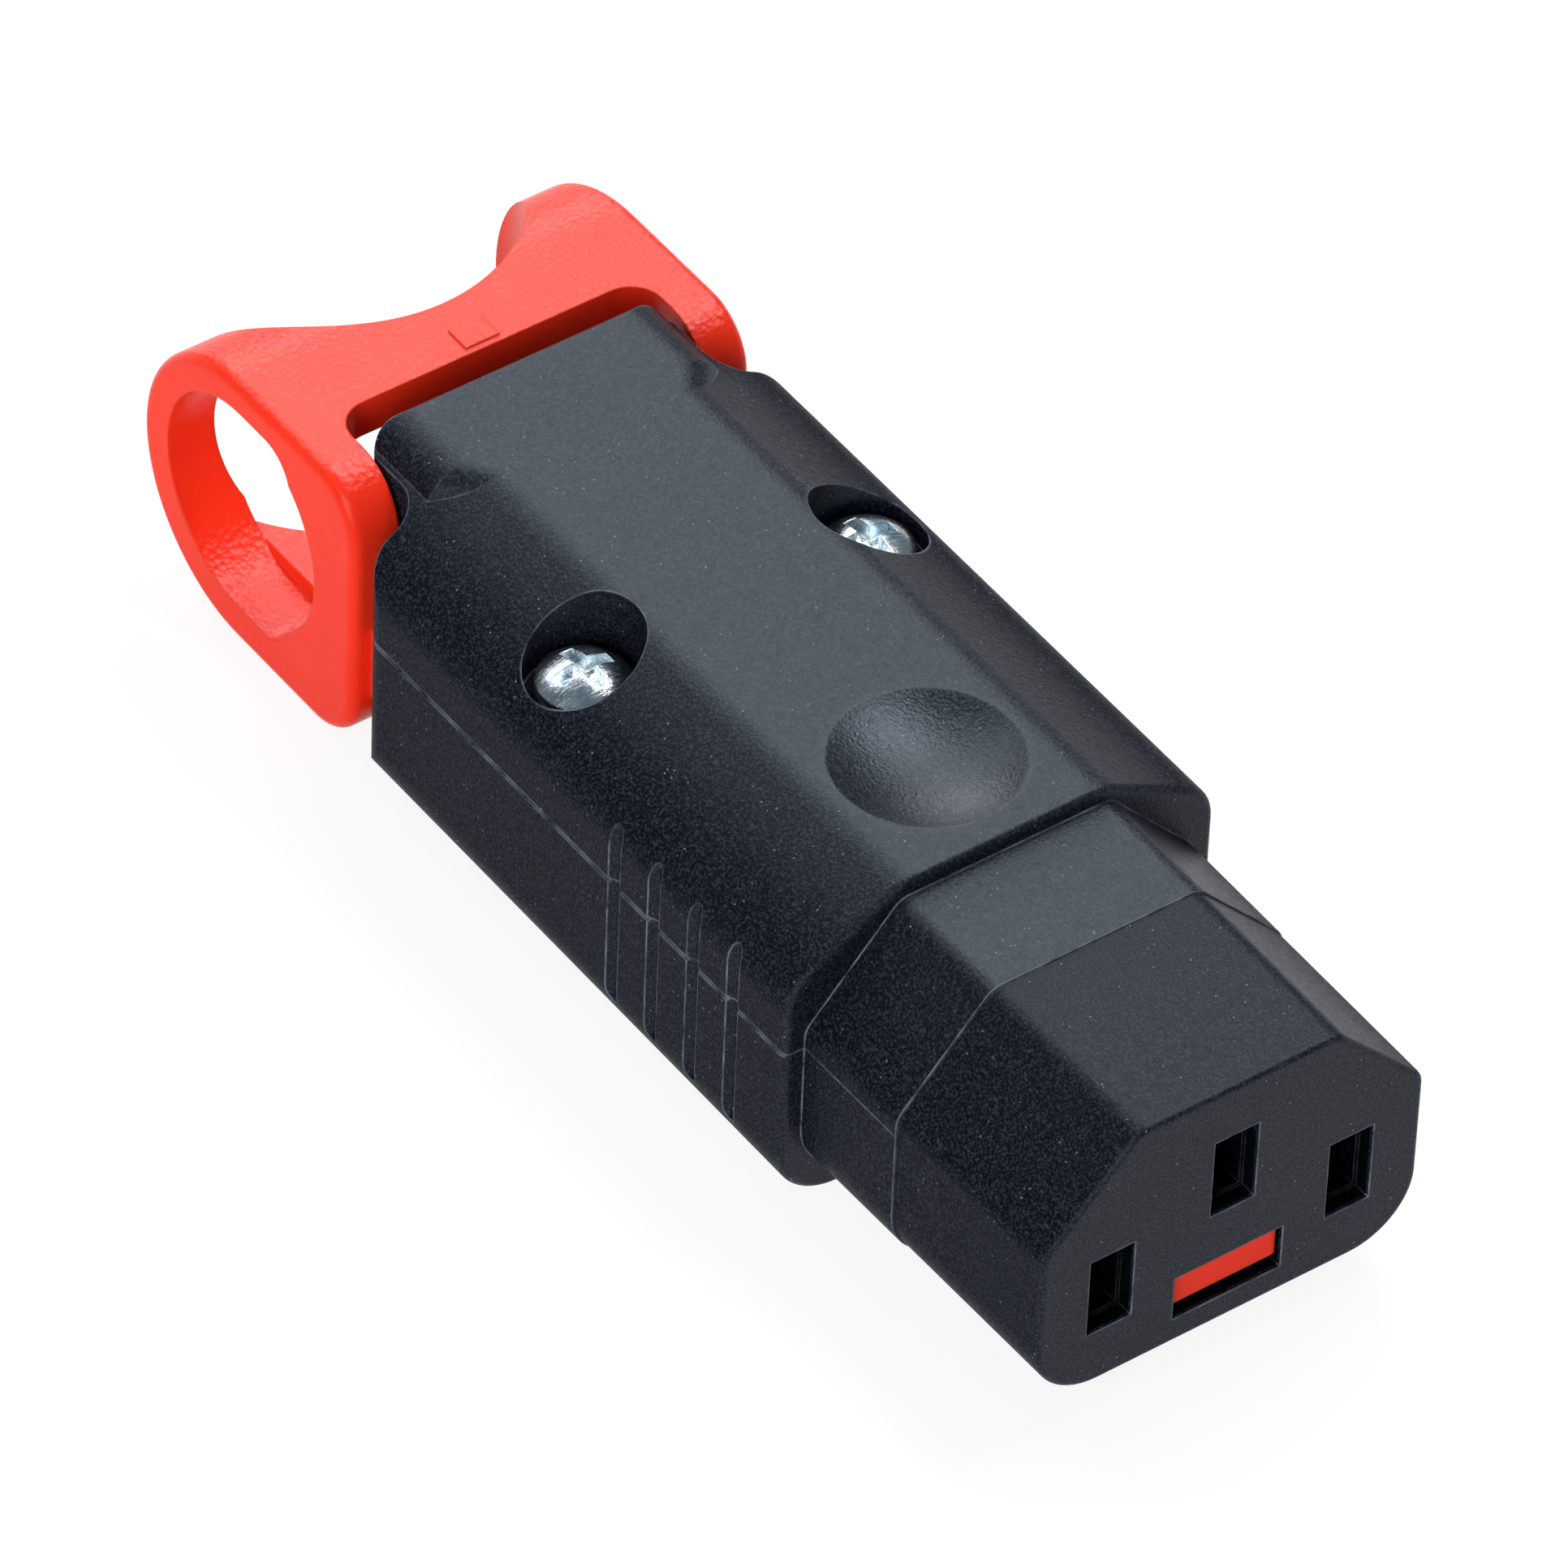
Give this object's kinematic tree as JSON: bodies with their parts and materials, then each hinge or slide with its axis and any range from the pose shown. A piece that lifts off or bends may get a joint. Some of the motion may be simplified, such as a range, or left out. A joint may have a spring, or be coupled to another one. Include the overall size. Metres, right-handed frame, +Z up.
{
  "type": "locking power connector",
  "caption": "Locking mains connector with a chamfered three-slot nose, a black two-part housing with recessed screws and a red pull handle with finger rings that frees the lock.",
  "frame": {"origin": "middle of the underside of the box round the connector at rest, on the surface that it stands on", "axes": "+X towards the nose face that enters the inlet, +Z up through the flat top, Y across the connector"},
  "size_m": [0.0746, 0.0252, 0.0182],
  "materials": {
    "black_plastic": "fine spark-eroded grain, matte",
    "red_plastic": "smooth with fine leather-like grain on top, semi-gloss",
    "spring_wire": "drawn wire",
    "contact_brass": "bright stamped brass",
    "zinc_steel": "clear zinc plating",
    "hard_steel": "hardened, ground"
  },
  "bodies": {
    "housing": {"upper_shell": "black_plastic", "lower_shell": "black_plastic", "front_insert": "black_plastic", "handle_spring_left": "spring_wire", "handle_spring_right": "spring_wire", "lock_spring": "spring_wire", "line_contact": "contact_brass", "neutral_contact": "contact_brass", "earth_contact": "contact_brass", "line_terminal_block": "contact_brass", "neutral_terminal_block": "contact_brass", "earth_terminal_block": "contact_brass", "line_terminal_screw": "zinc_steel", "neutral_terminal_screw": "zinc_steel", "earth_terminal_screw": "zinc_steel", "cord_clamp": "black_plastic", "cord_clamp_screw_left": "zinc_steel", "cord_clamp_screw_right": "zinc_steel", "cover_screw_left": "zinc_steel", "cover_screw_right": "zinc_steel"},
    "handle": {"pull_handle": "red_plastic", "release_slider": "red_plastic"},
    "lock": {"lock_plate": "hard_steel"}
  },
  "joints": [
    {"name": "handle_pull", "type": "slide", "parent": "housing", "child": "handle", "axis": [-1, 0, 0], "range_m": [0, 0.003], "stiffness_N_per_m": 2000, "springref_m": -0.002, "deforming": ["handle_spring_left", "handle_spring_right"]},
    {"name": "lock_tilt", "type": "hinge", "parent": "housing", "child": "lock", "pos_m": [0.02925, 0, 0.0151], "axis": [0, 1, 0], "range_deg": [0, 13], "deforming": ["lock_spring"]}
  ],
  "couplings": [
    {"joint": "lock_tilt", "follows": "handle_pull", "rad_per_m": 75.6}
  ]
}
